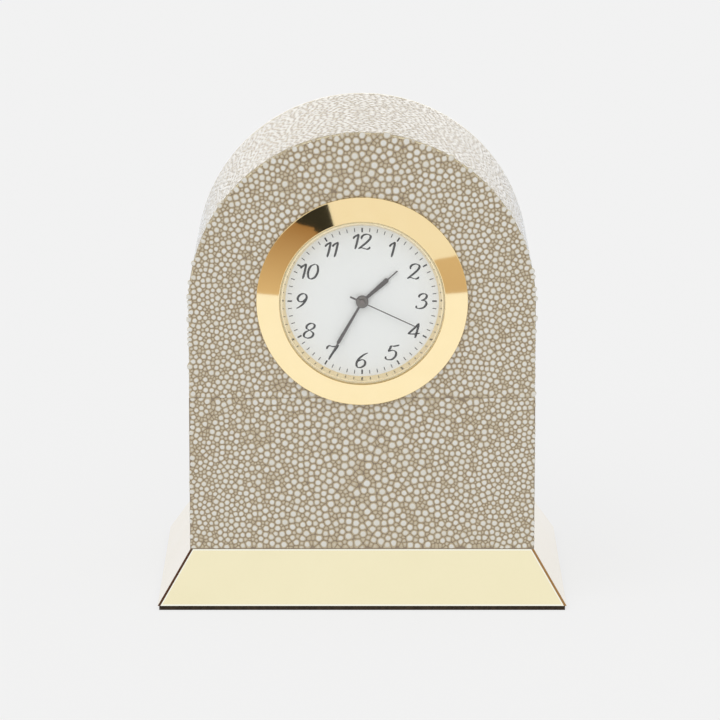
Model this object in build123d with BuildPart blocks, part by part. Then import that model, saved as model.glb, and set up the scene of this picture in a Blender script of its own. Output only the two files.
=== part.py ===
from build123d import *
import os
from math import acos, atan2, cos, degrees, pi, radians, sin, tan

# Arched shelf clock: a block case covered in pearl skin, on a flared brass plinth, with a round
# quartz insert that pulls out of the front. Millimetres. The origin is the middle of the underside,
# +Z is up and the dial faces -Y. Depths in the insert are counted backwards from the front skin's face.

# Case
case_width = 88.9
case_depth = 64.4
spring_height = 78.7        # height above the table where the sides end and the half circle starts
skin_thickness = 1.2
seam_margin = 1.55          # skin between the insert's hole and the level seam under it
front_block_depth = 24.0
dowel_radius = 4.0
dowel_length = 16.0
dowel_edge = 13.0           # dowel axis in from the side of the case
front_dowel_height = 20.0   # dowel axes above the plinth
back_dowel_height = 34.0
dowel_end_gap = 0.5
glue_gap = 0.05

# Plinth
plinth_height = 12.9
plinth_flare = 8.2
plate_thickness = 0.7
pad_thickness = 1.2
pad_inset = 0.4
screw_radius = 2.0
screw_head_radius = 3.8
screw_head_height = 2.4
screw_pocket = 4.0
screw_bite = 14.0
screw_tip = 3.0
screw_point_radius = 0.5
screw_edge = 17.0           # screw axis in from the side of the case
screw_gap = 0.1

# Bezel, glass and dial
bezel_overlap = 3.2         # flange beyond the hole in the case
bezel_edge = 0.9
bezel_cone_width = 5.8
bezel_skirt_length = 4.0
glass_thickness = 0.9
glass_edge = 0.5
glass_recess = 0.1
glass_gap = 0.05
ring_lip = 0.8              # how far the dial ring's mouth stands inside the glass bore
ring_run = 0.8              # how far its cone runs in from mouth to foot
dial_rise = 0.9             # dial centre above the centre of the arch
dial_thickness = 0.5
dial_gap = 0.1

# Hands, at the time that the clock shows (degrees clockwise from twelve)
hand_thickness = 0.25
hand_gap = 0.25
hand_rise = 0.45            # dial face to the underside of the hour hand
hand_clearance = 0.35       # second hand's hub to the glass
hub_height = 0.25
hour_angle = 48.6
hour_tip = 12.0
hour_shoulder = 8.9
hour_width = 1.25
hour_root_width = 0.65
minute_angle = 210.0
minute_tip = 15.3
minute_shoulder = 12.7
minute_width = 0.9
minute_root_width = 0.5
shoulder_taper = 0.5
needle_width = 0.3
boss_radius = 1.6
second_angle = 115.0
second_tip = 15.0
second_tail = 3.4
second_width = 0.24
tail_width = 0.44
second_boss_radius = 0.75

# Arbors and tubes on the dial's axis
seconds_arbor_radius = 0.3
tube_wall = 0.35
running_gap = 0.05
press_gap = 0.02
dial_hole_gap = 0.3

# Wheel teeth
pressure_angle = radians(25)
tip_height = 0.8            # in modules
root_depth = 1.05           # in modules
backlash = 0.08
cannon_teeth = 12
motion_teeth = 36
motion_pinion_teeth = 12
hour_teeth = 48
setting_teeth = 12
centre_teeth = 80
third_pinion_teeth = 10
third_teeth = 75
seconds_pinion_teeth = 10
seconds_teeth = 50
intermediate_pinion_teeth = 10
intermediate_teeth = 60
rotor_teeth = 10

# Where the arbors stand, seen from the front
motion_distance = 8.4
motion_direction = 97.0
setting_direction = 162.0   # from the motion arbor to the setting arbor
middle_arbor_distance = 7.5 # third wheel's arbor from the dial's axis
third_direction = 60.0
intermediate_distance = 7.5
intermediate_direction = 180.0
rotor_mesh_distance = 7.0   # rotor arbor from the intermediate arbor
rotor_reach = 10.2          # rotor arbor from the dial's axis

# Levels and plates of the movement
motion_thickness = 0.8
motion_gap = 0.6
cannon_tail = 0.2           # cannon pinion's tube behind the centre wheel
train_thickness = 0.6
train_gap = 0.7
train_clearance = 0.4
pinion_overlap = 0.1
plate_thickness_main = 1.2
plate_rim = 1.3
bridge_thickness = 1.0
back_space = 3.4
pivot_radius = 0.3
arbor_radius = 0.45
pivot_end_gap = 0.2
post_radius = 0.7
setting_radius = 1.0
pillar_radius = 1.5
pillar_inset = 2.2
pillar_directions = (20.0, 140.0, 275.0)
bridge_screw_radius = 0.5
bridge_screw_head = 1.0
bridge_screw_head_height = 0.6
bridge_screw_length = 4.0

# Motor, circuit and battery
magnet_radius = 1.6
magnet_length = 2.0
stator_thickness = 1.0
stator_gap = 0.5
stator_ring = 0.9
stator_bar_width = 2.6
coil_length = 13.0
coil_radius = 1.8
coil_flange_radius = 2.1
coil_flange_thickness = 0.5
coil_clearance = 0.2
core_width = 1.6
bobbin_wall = 0.3
leg_width = 2.0
board_width = 13.0
board_height = 10.0
board_thickness = 0.8
board_x = -9.0
board_y = -5.6
can_radius = 1.0
can_length = 6.0
chip_side = 4.0
chip_height = 1.1
chip_corner = 0.5
chip_offset = 3.25          # chip and can to either side of the board's middle
battery_radius = 5.8
battery_height = 5.4
battery_step = 0.6
battery_direction = -31.0
well_gap = 0.5
well_wall = 0.6
well_clearance = 0.4
well_floor = 0.6
contact_thickness = 0.25
contact_width = 2.4
tab_width = 1.2
contact_gap = 0.1
positive_turn = 35.0        # positive contact's place round the battery, from level

# Cup, gasket, knob and battery cap
cup_gap = 0.2
cup_wall = 2.3
cup_back_wall = 1.5
hole_gap = 0.5
gasket_depth = 6.0
gasket_length = 8.0
gasket_ribs = 4
gasket_base = 0.2
gasket_gap = 0.08
knob_radius = 4.0
knob_height = 3.0
knob_end = 0.75             # closed end over the arbor
knob_gap = 0.4
knob_flutes = 18
flute_radius = 0.35
cap_margin = 0.6            # cap's rim beyond the battery
cap_gap = 0.1
cap_lug = 1.1
cap_lug_width = 3.0
cap_lug_height = 0.4
cap_turn = 45.0
coin_slot_width = 1.6
coin_slot_depth = 0.8
coin_slot_length = 9.0

# Sizes that follow from the ones above
front_y = -case_depth / 2
half_width = case_width / 2
plinth_top = pad_thickness + plinth_height
block_half = half_width - skin_thickness
rear_block_depth = (case_depth - 2 * skin_thickness - front_block_depth) / 2
front_block_back = front_y + skin_thickness + front_block_depth
middle_block_back = front_block_back + rear_block_depth
back_block_back = middle_block_back + rear_block_depth
dial_height = spring_height + dial_rise
dowel_x = half_width - dowel_edge
screw_x = half_width - screw_edge
front_screw_y = front_block_back - front_block_depth / 2
back_screw_y = back_block_back - rear_block_depth / 2
screw_seat = pad_thickness + screw_pocket


def polar(reach, direction):
    """Point at a distance from the dial's axis, in a direction counted from +X towards +Z."""
    return (reach * cos(radians(direction)), reach * sin(radians(direction)))


def gear_module(distance, teeth, mate_teeth):
    """Tooth module that lets two wheels mesh at this distance."""
    return 2 * distance / (teeth + mate_teeth)


def tip_radius(teeth, module):
    """Outside radius of a wheel."""
    return module * (teeth / 2 + tip_height)


def meshed(phase, teeth, mate_teeth, direction):
    """Angle of the mate's first tooth, where the mate lies in this direction and its gap takes the tooth."""
    return direction + 180 + 180 / mate_teeth - (phase - direction) * teeth / mate_teeth


cannon_module = gear_module(motion_distance, cannon_teeth, motion_teeth)
hour_module = gear_module(motion_distance, motion_pinion_teeth, hour_teeth)
setting_distance = cannon_module * (motion_teeth + setting_teeth) / 2
centre_module = gear_module(middle_arbor_distance, third_pinion_teeth, centre_teeth)
third_module = gear_module(middle_arbor_distance, seconds_pinion_teeth, third_teeth)
seconds_module = gear_module(intermediate_distance, intermediate_pinion_teeth, seconds_teeth)
intermediate_module = gear_module(rotor_mesh_distance, rotor_teeth, intermediate_teeth)

centre = (0.0, 0.0)
motion_spot = polar(motion_distance, motion_direction)
setting_offset = polar(setting_distance, setting_direction)
setting_spot = (motion_spot[0] + setting_offset[0], motion_spot[1] + setting_offset[1])
third_spot = polar(middle_arbor_distance, third_direction)
intermediate_spot = polar(intermediate_distance, intermediate_direction)
rotor_corner = acos(
    (intermediate_distance**2 + rotor_reach**2 - rotor_mesh_distance**2)
    / (2 * intermediate_distance * rotor_reach)
)
rotor_direction = intermediate_direction + degrees(rotor_corner)
rotor_spot = polar(rotor_reach, rotor_direction)
rotor_mesh_direction = degrees(
    atan2(rotor_spot[1] - intermediate_spot[1], rotor_spot[0] - intermediate_spot[0])
)

# Radii of the insert, from the battery and the widest wheel outwards
well_bore = battery_radius + well_gap
well_radius = well_bore + well_wall
battery_reach = tip_radius(seconds_teeth, seconds_module) + well_clearance + well_radius
battery_spot = polar(battery_reach, battery_direction)
third_reach = middle_arbor_distance + tip_radius(third_teeth, third_module)
movement_radius = max(battery_reach + well_radius, third_reach + pillar_radius) + cup_gap
cup_bore = movement_radius + cup_gap
cup_radius = cup_bore + cup_wall
spigot_radius = cup_bore + cup_wall / 2 - dial_gap
dial_radius = spigot_radius
skirt_bore = dial_radius + dial_gap
hole_radius = cup_radius + hole_gap
seam_height = dial_height - hole_radius - seam_margin
bezel_radius = hole_radius + bezel_overlap
lip_radius = bezel_radius - bezel_cone_width
glass_bore = lip_radius - glass_gap
glass_radius = glass_bore - glass_gap
ring_mouth = glass_bore - ring_lip
ring_foot = ring_mouth - ring_run
pillar_reach = movement_radius - pillar_inset

# Radii on the dial's axis
cannon_bore = seconds_arbor_radius + running_gap
cannon_radius = cannon_bore + tube_wall
hour_bore = cannon_radius + running_gap
hour_radius = hour_bore + tube_wall
dial_hole = hour_radius + dial_hole_gap

# Depths, with those in front of the skin's face negative
hour_hand_back = -hand_rise
hour_hand_front = hour_hand_back - hand_thickness
minute_hand_back = hour_hand_front - hand_gap
minute_hand_front = minute_hand_back - hand_thickness
second_hand_back = minute_hand_front - hand_gap
second_hand_front = second_hand_back - hand_thickness
hub_front = second_hand_front - hub_height
glass_back = hub_front - hand_clearance
glass_front = glass_back - glass_thickness
bezel_front = glass_front - glass_recess
dial_back = dial_thickness
hour_near = dial_back + motion_gap
hour_far = hour_near + motion_thickness
motion_near = hour_far + motion_gap
motion_far = motion_near + motion_thickness
plate_front = motion_far + motion_gap
plate_back = plate_front + plate_thickness_main
centre_near = plate_back + train_clearance
centre_far = centre_near + train_thickness
third_near = centre_far + train_gap
third_far = third_near + train_thickness
seconds_near = third_far + train_gap
seconds_far = seconds_near + train_thickness
intermediate_near = seconds_far + train_gap
intermediate_far = intermediate_near + train_thickness
bridge_front = intermediate_far + train_gap
bridge_back = bridge_front + bridge_thickness
cup_floor = bridge_back + back_space
cup_back = cup_floor + cup_back_wall
cap_front = cup_floor - running_gap - cap_lug_height
battery_far = cap_front - contact_gap
battery_near = battery_far - battery_height
well_floor_back = battery_near - contact_thickness
well_floor_front = well_floor_back - well_floor
coil_depth = plate_back + coil_flange_radius + coil_clearance
knob_near = cup_back + knob_gap
knob_far = knob_near + knob_height

dial_axis = Axis((0, front_y, dial_height), (0, 1, 0))
section = Plane(origin=(0, front_y, dial_height), x_dir=(1, 0, 0), z_dir=(0, 0, 1))

os.makedirs("parts", exist_ok=True)


def save(piece, name):
    """Label a finished piece and write it to its own file."""
    piece.part.label = name
    export_step(piece.part, f"parts/{name}.step")


def upright(y):
    """Plane that faces the front at this y, with its origin on the plinth's top."""
    return Plane(origin=(0, y, plinth_top), x_dir=(1, 0, 0), z_dir=(0, -1, 0))


def at_depth(depth):
    """Plane that faces the front at this depth behind the skin's face, with its origin on the dial's axis."""
    return Plane(origin=(0, front_y + depth, dial_height), x_dir=(1, 0, 0), z_dir=(0, -1, 0))


def arch_outline(half):
    """Closed arch: upright sides to the spring line and a half circle over them."""
    straight = spring_height - plinth_top
    with BuildSketch() as outline:
        with BuildLine():
            Polyline((-half, straight), (-half, 0), (half, 0), (half, straight))
            ThreePointArc((half, straight), (0, straight + half), (-half, straight))
        make_face()
    return outline.sketch


def arch_above_seam(half):
    """The arch's part above the level seam."""
    with BuildSketch() as outline:
        add(arch_outline(half))
        with Locations((0, seam_height - plinth_top)):
            Rectangle(2 * half, 2 * case_width, align=(Align.CENTER, Align.MIN), mode=Mode.INTERSECT)
    return outline.sketch


def add_disc(spot, radius, near, far, mode=Mode.ADD):
    """Round disc, post or hole between two depths of the insert."""
    with BuildSketch(at_depth(far)) as outline:
        with Locations(spot):
            Circle(radius)
    extrude(outline.sketch, amount=far - near, mode=mode)


def add_wheel(spot, teeth, module, phase, near, far):
    """Toothed wheel between two depths: involute flanks with a corner at root, pitch and tip."""
    pitch = teeth * module / 2
    base = pitch * cos(pressure_angle)
    tooth = pi * module / 2 - backlash / 2
    flank = []
    for radius in (pitch - root_depth * module, pitch, pitch + tip_height * module):
        rolled = acos(min(1.0, base / radius))
        spread = tan(pressure_angle) - pressure_angle - tan(rolled) + rolled
        flank.append((radius, tooth / (2 * pitch) + spread))
    points = []
    for index in range(teeth):
        middle = 2 * pi * index / teeth
        points += [(r * cos(middle - half), r * sin(middle - half)) for r, half in flank]
        points += [(r * cos(middle + half), r * sin(middle + half)) for r, half in reversed(flank)]
    with BuildSketch(at_depth(far)) as outline:
        with Locations(spot):
            Polygon(*points, rotation=phase, align=None)
    extrude(outline.sketch, amount=far - near)


def add_arbor(spot):
    """Steel arbor between the plates, with a thinner pivot at each end."""
    add_disc(spot, arbor_radius, plate_back + running_gap, bridge_front - running_gap)
    add_disc(spot, pivot_radius, plate_front + pivot_end_gap, bridge_back - pivot_end_gap)


def hand_outline(tip, shoulder, width, root_width):
    """Tapered hand along +Y: widest at the shoulder, then a straight needle to the tip."""
    right = [
        (root_width / 2, 0),
        (width / 2, shoulder - shoulder_taper),
        (needle_width / 2, shoulder),
        (needle_width / 2, tip),
    ]
    return right + [(-x, y) for x, y in reversed(right)]


# Case blocks: three layers of fibreboard, the front one bored through for the insert
with BuildPart() as front_block:
    with BuildSketch(upright(front_block_back)):
        add(arch_outline(block_half))
        with Locations((0, dial_height - plinth_top)):
            Circle(hole_radius, mode=Mode.SUBTRACT)
    extrude(amount=front_block_depth)
    with BuildSketch(upright(front_block_back)):
        with Locations((-dowel_x, front_dowel_height), (dowel_x, front_dowel_height)):
            Circle(dowel_radius + glue_gap)
    extrude(amount=dowel_length / 2 + dowel_end_gap, mode=Mode.SUBTRACT)
    with BuildSketch(Plane.XY.offset(plinth_top)):
        with Locations((-screw_x, front_screw_y), (screw_x, front_screw_y)):
            Circle(screw_radius + screw_gap)
    extrude(amount=screw_bite + screw_gap, mode=Mode.SUBTRACT)
save(front_block, "front_block")

with BuildPart() as middle_block:
    with BuildSketch(upright(middle_block_back)):
        add(arch_outline(block_half))
    extrude(amount=rear_block_depth)
    with BuildSketch(upright(front_block_back)):
        with Locations((-dowel_x, front_dowel_height), (dowel_x, front_dowel_height)):
            Circle(dowel_radius + glue_gap)
    extrude(amount=-(dowel_length / 2 + dowel_end_gap), mode=Mode.SUBTRACT)
    with BuildSketch(upright(middle_block_back)):
        with Locations((-dowel_x, back_dowel_height), (dowel_x, back_dowel_height)):
            Circle(dowel_radius + glue_gap)
    extrude(amount=dowel_length / 2 + dowel_end_gap, mode=Mode.SUBTRACT)
save(middle_block, "middle_block")

with BuildPart() as back_block:
    with BuildSketch(upright(back_block_back)):
        add(arch_outline(block_half))
    extrude(amount=rear_block_depth)
    with BuildSketch(upright(middle_block_back)):
        with Locations((-dowel_x, back_dowel_height), (dowel_x, back_dowel_height)):
            Circle(dowel_radius + glue_gap)
    extrude(amount=-(dowel_length / 2 + dowel_end_gap), mode=Mode.SUBTRACT)
    with BuildSketch(Plane.XY.offset(plinth_top)):
        with Locations((-screw_x, back_screw_y), (screw_x, back_screw_y)):
            Circle(screw_radius + screw_gap)
    extrude(amount=screw_bite + screw_gap, mode=Mode.SUBTRACT)
save(back_block, "back_block")

with BuildPart() as dowels:
    for joint_y, height in ((front_block_back, front_dowel_height), (middle_block_back, back_dowel_height)):
        with BuildSketch(upright(joint_y)):
            with Locations((-dowel_x, height), (dowel_x, height)):
                Circle(dowel_radius)
        extrude(amount=dowel_length / 2, both=True)
save(dowels, "dowels")

# Skins: two panels on the front and on the back, and three round the sides and the arch
for name, back_y in (("front", front_y + skin_thickness), ("back", case_depth / 2)):
    with BuildPart() as upper_skin:
        with BuildSketch(upright(back_y)):
            add(arch_above_seam(half_width))
            if name == "front":
                with Locations((0, dial_height - plinth_top)):
                    Circle(hole_radius, mode=Mode.SUBTRACT)
        extrude(amount=skin_thickness)
    save(upper_skin, f"{name}_upper_skin")

    with BuildPart() as lower_skin:
        with BuildSketch(upright(back_y)):
            Rectangle(case_width, seam_height - plinth_top, align=(Align.CENTER, Align.MIN))
        extrude(amount=skin_thickness)
    save(lower_skin, f"{name}_lower_skin")

with BuildPart() as arch_skin:
    with BuildSketch(upright(back_block_back)):
        add(arch_above_seam(half_width))
        add(arch_outline(block_half), mode=Mode.SUBTRACT)
    extrude(amount=case_depth - 2 * skin_thickness)
save(arch_skin, "arch_skin")

for name, side in (("left", -1), ("right", 1)):
    with BuildPart() as side_skin:
        with BuildSketch(upright(back_block_back)):
            with Locations((side * (block_half + skin_thickness / 2), 0)):
                Rectangle(skin_thickness, seam_height - plinth_top, align=(Align.CENTER, Align.MIN))
        extrude(amount=case_depth - 2 * skin_thickness)
    save(side_skin, f"{name}_skin")

# Plinth: a flared core, clad in four brass plates. The side plates lap over the ends of the others.
base_half = half_width + plinth_flare
base_depth = case_depth + 2 * plinth_flare
screw_spots = [(x, y) for y in (front_screw_y, back_screw_y) for x in (-screw_x, screw_x)]

with BuildPart() as plinth_core:
    with BuildSketch(Plane.XY.offset(pad_thickness)):
        Rectangle(2 * (base_half - plate_thickness), base_depth - 2 * plate_thickness)
    with BuildSketch(Plane.XY.offset(plinth_top)):
        Rectangle(2 * (half_width - plate_thickness), case_depth - 2 * plate_thickness)
    loft(ruled=True)
    with Locations(Plane(origin=(0, 0, pad_thickness), x_dir=(1, 0, 0), z_dir=(0, 0, -1))):
        with Locations(*[(x, -y) for x, y in screw_spots]):
            CounterBoreHole(screw_radius + screw_gap, screw_head_radius + screw_gap, screw_pocket)
save(plinth_core, "plinth_core")

for name, side in (("front", -1), ("back", 1)):
    with BuildPart() as end_plate:
        for height, half, depth in (
            (pad_thickness, base_half, base_depth),
            (plinth_top, half_width, case_depth),
        ):
            with BuildSketch(Plane.XY.offset(height)):
                with Locations((0, side * (depth - plate_thickness) / 2)):
                    Rectangle(2 * (half - plate_thickness), plate_thickness)
        loft(ruled=True)
    save(end_plate, f"plinth_{name}_plate")

for name, side in (("left", -1), ("right", 1)):
    with BuildPart() as side_plate:
        for height, half, depth in (
            (pad_thickness, base_half, base_depth),
            (plinth_top, half_width, case_depth),
        ):
            with BuildSketch(Plane.XY.offset(height)):
                with Locations((side * (half - plate_thickness / 2), 0)):
                    Rectangle(plate_thickness, depth)
        loft(ruled=True)
    save(side_plate, f"plinth_{name}_plate")

with BuildPart() as base_pad:
    with BuildSketch():
        Rectangle(2 * (base_half - pad_inset), base_depth - 2 * pad_inset)
    extrude(amount=pad_thickness)
save(base_pad, "base_pad")

# Wood screws up through the plinth into the blocks, with their heads sunk under the pad
with BuildPart() as plinth_screws:
    shank = plinth_top + screw_bite - screw_tip - screw_seat
    with Locations(*[(x, y, screw_seat) for x, y in screw_spots]):
        Cylinder(screw_head_radius, screw_head_height, align=(Align.CENTER, Align.CENTER, Align.MAX))
        Cylinder(screw_radius, shank, align=(Align.CENTER, Align.CENTER, Align.MIN))
    with Locations(*[(x, y, screw_seat + shank) for x, y in screw_spots]):
        Cone(screw_radius, screw_point_radius, screw_tip, align=(Align.CENTER, Align.CENTER, Align.MIN))
save(plinth_screws, "plinth_screws")

# Bezel: a turned ring with a flat flange, a polished cone, a bore for the glass and a skirt behind
with BuildPart() as bezel:
    with BuildSketch(section):
        with BuildLine():
            Polyline(
                (bezel_radius, 0),
                (bezel_radius, -bezel_edge),
                (lip_radius, bezel_front),
                (glass_bore, bezel_front),
                (glass_bore, glass_back),
                (skirt_bore, glass_back),
                (skirt_bore, bezel_skirt_length),
                (cup_radius, bezel_skirt_length),
                (cup_radius, 0),
                close=True,
            )
        make_face()
    revolve(axis=dial_axis)
save(bezel, "bezel")

# Crystal: flat glass with a bevelled front edge
with BuildPart() as crystal:
    add_disc(centre, glass_radius, glass_front, glass_back)
    chamfer(crystal.faces().sort_by(Axis.Y)[0].edges(), glass_edge)
save(crystal, "crystal")

# Dial ring: gilt cone that spaces the glass from the dial
with BuildPart() as dial_ring:
    with BuildSketch(section):
        with BuildLine():
            Polyline(
                (ring_mouth, glass_back),
                (dial_radius, glass_back),
                (dial_radius, 0),
                (ring_foot, 0),
                close=True,
            )
        make_face()
    revolve(axis=dial_axis)
save(dial_ring, "dial_ring")

with BuildPart() as dial:
    add_disc(centre, dial_radius, 0, dial_back)
    add_disc(centre, dial_hole, 0, dial_back, mode=Mode.SUBTRACT)
save(dial, "dial")

# Cup: spigot in the bezel's skirt, body behind it and a back wall with the battery door and arbor hole
cap_radius = battery_radius + cap_margin
cap_hole = cap_radius + cap_gap
lug_radius = cap_radius + cap_lug
with BuildPart() as movement_cup:
    with BuildSketch(section):
        with BuildLine():
            Polyline(
                (cup_bore, dial_back),
                (spigot_radius, dial_back),
                (spigot_radius, bezel_skirt_length),
                (cup_radius, bezel_skirt_length),
                (cup_radius, cup_back),
                (0, cup_back),
                (0, cup_floor),
                (cup_bore, cup_floor),
                close=True,
            )
        make_face()
    revolve(axis=dial_axis)
    add_disc(battery_spot, cap_hole, cup_floor, cup_back, mode=Mode.SUBTRACT)
    add_disc(setting_spot, setting_radius + running_gap, cup_floor, cup_back, mode=Mode.SUBTRACT)
    with BuildSketch(at_depth(cup_back)):
        with Locations(Location((*battery_spot, 0), (0, 0, battery_direction + 90 - cap_turn))):
            Rectangle(2 * (lug_radius + cap_gap), cap_lug_width + 2 * cap_gap)
    extrude(amount=cup_back_wall, mode=Mode.SUBTRACT)
save(movement_cup, "movement_cup")

# Gasket: ribbed rubber sleeve that grips the hole in the case
rib_pitch = gasket_length / gasket_ribs
gasket_root = cup_radius + gasket_base
gasket_crest = hole_radius - gasket_gap
with BuildPart() as gasket:
    with BuildSketch(section):
        with BuildLine():
            profile = [(cup_radius, gasket_depth), (gasket_root, gasket_depth)]
            for index in range(gasket_ribs):
                start = gasket_depth + index * rib_pitch
                profile += [(gasket_crest, start + rib_pitch / 2), (gasket_root, start + rib_pitch)]
            profile.append((cup_radius, gasket_depth + gasket_length))
            Polyline(*profile, close=True)
        make_face()
    revolve(axis=dial_axis)
save(gasket, "gasket")

# Main plate: rim up to the dial, post for the motion wheel and pillars for the bridge
pillar_spots = [polar(pillar_reach, direction) for direction in pillar_directions]
with BuildPart() as main_plate:
    add_disc(centre, movement_radius, plate_front, plate_back)
    with BuildSketch(at_depth(plate_front)):
        Circle(movement_radius)
        Circle(movement_radius - plate_rim, mode=Mode.SUBTRACT)
    extrude(amount=plate_front - dial_back)
    add_disc(motion_spot, post_radius, hour_near, plate_front)
    for spot in pillar_spots:
        add_disc(spot, pillar_radius, plate_back, bridge_front)
        screw_end = bridge_back - bridge_screw_length
        add_disc(spot, bridge_screw_radius + running_gap, screw_end - pivot_end_gap, bridge_front, Mode.SUBTRACT)
    add_disc(centre, hour_bore, plate_front, plate_back, mode=Mode.SUBTRACT)
    add_disc(setting_spot, setting_radius + running_gap, plate_front, plate_back, mode=Mode.SUBTRACT)
    for spot in (third_spot, intermediate_spot, rotor_spot):
        add_disc(spot, pivot_radius + running_gap, plate_front, plate_back, mode=Mode.SUBTRACT)
save(main_plate, "main_plate")

# Train bridge: carries the back pivots and the round well that the battery stands in
with BuildPart() as train_bridge:
    add_disc(centre, movement_radius, bridge_front, bridge_back)
    add_disc(battery_spot, well_radius, well_floor_front, bridge_back)
    add_disc(battery_spot, well_bore, well_floor_back, bridge_back, mode=Mode.SUBTRACT)
    add_disc(setting_spot, setting_radius + running_gap, bridge_front, bridge_back, mode=Mode.SUBTRACT)
    for spot in (centre, third_spot, intermediate_spot, rotor_spot):
        add_disc(spot, pivot_radius + running_gap, bridge_front, bridge_back, mode=Mode.SUBTRACT)
    for spot in pillar_spots:
        add_disc(spot, bridge_screw_radius + running_gap, bridge_front, bridge_back, mode=Mode.SUBTRACT)
save(train_bridge, "train_bridge")

with BuildPart() as bridge_screws:
    for spot in pillar_spots:
        add_disc(spot, bridge_screw_radius, bridge_back - bridge_screw_length, bridge_back)
        add_disc(spot, bridge_screw_head, bridge_back, bridge_back + bridge_screw_head_height)
save(bridge_screws, "bridge_screws")

# Hands' motion: cannon pinion drives the motion wheel, whose pinion drives the hour wheel
with BuildPart() as hour_wheel:
    add_wheel(centre, hour_teeth, hour_module, 0, hour_near, hour_far)
    add_disc(centre, hour_radius, hour_hand_front, hour_far)
    add_disc(centre, hour_bore, hour_hand_front, hour_far, mode=Mode.SUBTRACT)
save(hour_wheel, "hour_wheel")

with BuildPart() as hour_hand:
    with BuildSketch(at_depth(hour_hand_back)):
        outline = hand_outline(hour_tip, hour_shoulder, hour_width, hour_root_width)
        Polygon(*outline, rotation=-hour_angle, align=None)
        Circle(boss_radius)
        Circle(hour_radius + press_gap, mode=Mode.SUBTRACT)
    extrude(amount=hand_thickness)
save(hour_hand, "hour_hand")

motion_phase = meshed(0, cannon_teeth, motion_teeth, motion_direction)
cannon_back = centre_far + cannon_tail
with BuildPart() as cannon_pinion:
    add_wheel(centre, cannon_teeth, cannon_module, 0, motion_near - pinion_overlap, motion_far + pinion_overlap)
    add_disc(centre, cannon_radius, minute_hand_front, cannon_back)
    add_disc(centre, cannon_bore, minute_hand_front, cannon_back, mode=Mode.SUBTRACT)
save(cannon_pinion, "cannon_pinion")

with BuildPart() as minute_hand:
    with BuildSketch(at_depth(minute_hand_back)):
        outline = hand_outline(minute_tip, minute_shoulder, minute_width, minute_root_width)
        Polygon(*outline, rotation=-minute_angle, align=None)
        Circle(boss_radius)
        Circle(cannon_radius + press_gap, mode=Mode.SUBTRACT)
    extrude(amount=hand_thickness)
save(minute_hand, "minute_hand")

with BuildPart() as motion_wheel:
    pinion_phase = meshed(0, hour_teeth, motion_pinion_teeth, motion_direction)
    add_wheel(motion_spot, motion_teeth, cannon_module, motion_phase, motion_near, motion_far)
    add_wheel(motion_spot, motion_pinion_teeth, hour_module, pinion_phase, hour_near, motion_near)
    add_disc(motion_spot, post_radius + running_gap, hour_near, motion_far, mode=Mode.SUBTRACT)
save(motion_wheel, "motion_wheel")

with BuildPart() as setting_arbor:
    setting_phase = meshed(motion_phase, motion_teeth, setting_teeth, setting_direction)
    add_wheel(setting_spot, setting_teeth, cannon_module, setting_phase, motion_near, motion_far)
    add_disc(setting_spot, setting_radius, motion_near, knob_far - knob_end)
save(setting_arbor, "setting_arbor")

with BuildPart() as setting_knob:
    add_disc(setting_spot, knob_radius, knob_near, knob_far)
    add_disc(setting_spot, setting_radius + press_gap, knob_near, knob_far - knob_end, Mode.SUBTRACT)
    with BuildSketch(at_depth(knob_far)):
        with Locations(setting_spot):
            with PolarLocations(knob_radius, knob_flutes):
                Circle(flute_radius)
    extrude(amount=knob_height, mode=Mode.SUBTRACT)
save(setting_knob, "setting_knob")

# Going train, from the rotor up to the centre wheel, which grips the cannon pinion's tube by friction
with BuildPart() as seconds_wheel:
    add_wheel(centre, seconds_teeth, seconds_module, 0, seconds_near, seconds_far)
    add_wheel(centre, seconds_pinion_teeth, third_module, 0, third_near - pinion_overlap, seconds_near)
    add_disc(centre, seconds_arbor_radius, second_hand_front, bridge_back - pivot_end_gap)
save(seconds_wheel, "seconds_wheel")

with BuildPart() as second_hand:
    with BuildSketch(at_depth(second_hand_back)):
        outline = [
            (second_width / 2, 0),
            (second_width / 2, second_tip),
            (-second_width / 2, second_tip),
            (-second_width / 2, 0),
            (-tail_width / 2, 0),
            (-tail_width / 2, -second_tail),
            (tail_width / 2, -second_tail),
            (tail_width / 2, 0),
        ]
        Polygon(*outline, rotation=-second_angle, align=None)
        Circle(second_boss_radius)
    extrude(amount=hand_thickness)
    add_disc(centre, second_boss_radius, hub_front, second_hand_back)
    add_disc(centre, seconds_arbor_radius + press_gap, second_hand_front, second_hand_back, mode=Mode.SUBTRACT)
save(second_hand, "second_hand")

with BuildPart() as third_wheel:
    third_phase = meshed(0, seconds_pinion_teeth, third_teeth, third_direction)
    third_pinion_phase = meshed(0, centre_teeth, third_pinion_teeth, third_direction)
    add_wheel(third_spot, third_teeth, third_module, third_phase, third_near, third_far)
    third_pinion_near = centre_near - pinion_overlap
    add_wheel(third_spot, third_pinion_teeth, centre_module, third_pinion_phase, third_pinion_near, third_near)
    add_arbor(third_spot)
save(third_wheel, "third_wheel")

with BuildPart() as centre_wheel:
    add_wheel(centre, centre_teeth, centre_module, 0, centre_near, centre_far)
    add_disc(centre, cannon_radius + running_gap, centre_near, centre_far, mode=Mode.SUBTRACT)
save(centre_wheel, "centre_wheel")

with BuildPart() as intermediate_wheel:
    wheel_phase = meshed(0, seconds_teeth, intermediate_pinion_teeth, intermediate_direction)
    pinion_near = seconds_near - pinion_overlap
    add_wheel(intermediate_spot, intermediate_teeth, intermediate_module, 0, intermediate_near, intermediate_far)
    add_wheel(
        intermediate_spot,
        intermediate_pinion_teeth,
        seconds_module,
        wheel_phase,
        pinion_near,
        intermediate_near,
    )
    add_arbor(intermediate_spot)
save(intermediate_wheel, "intermediate_wheel")

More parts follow.
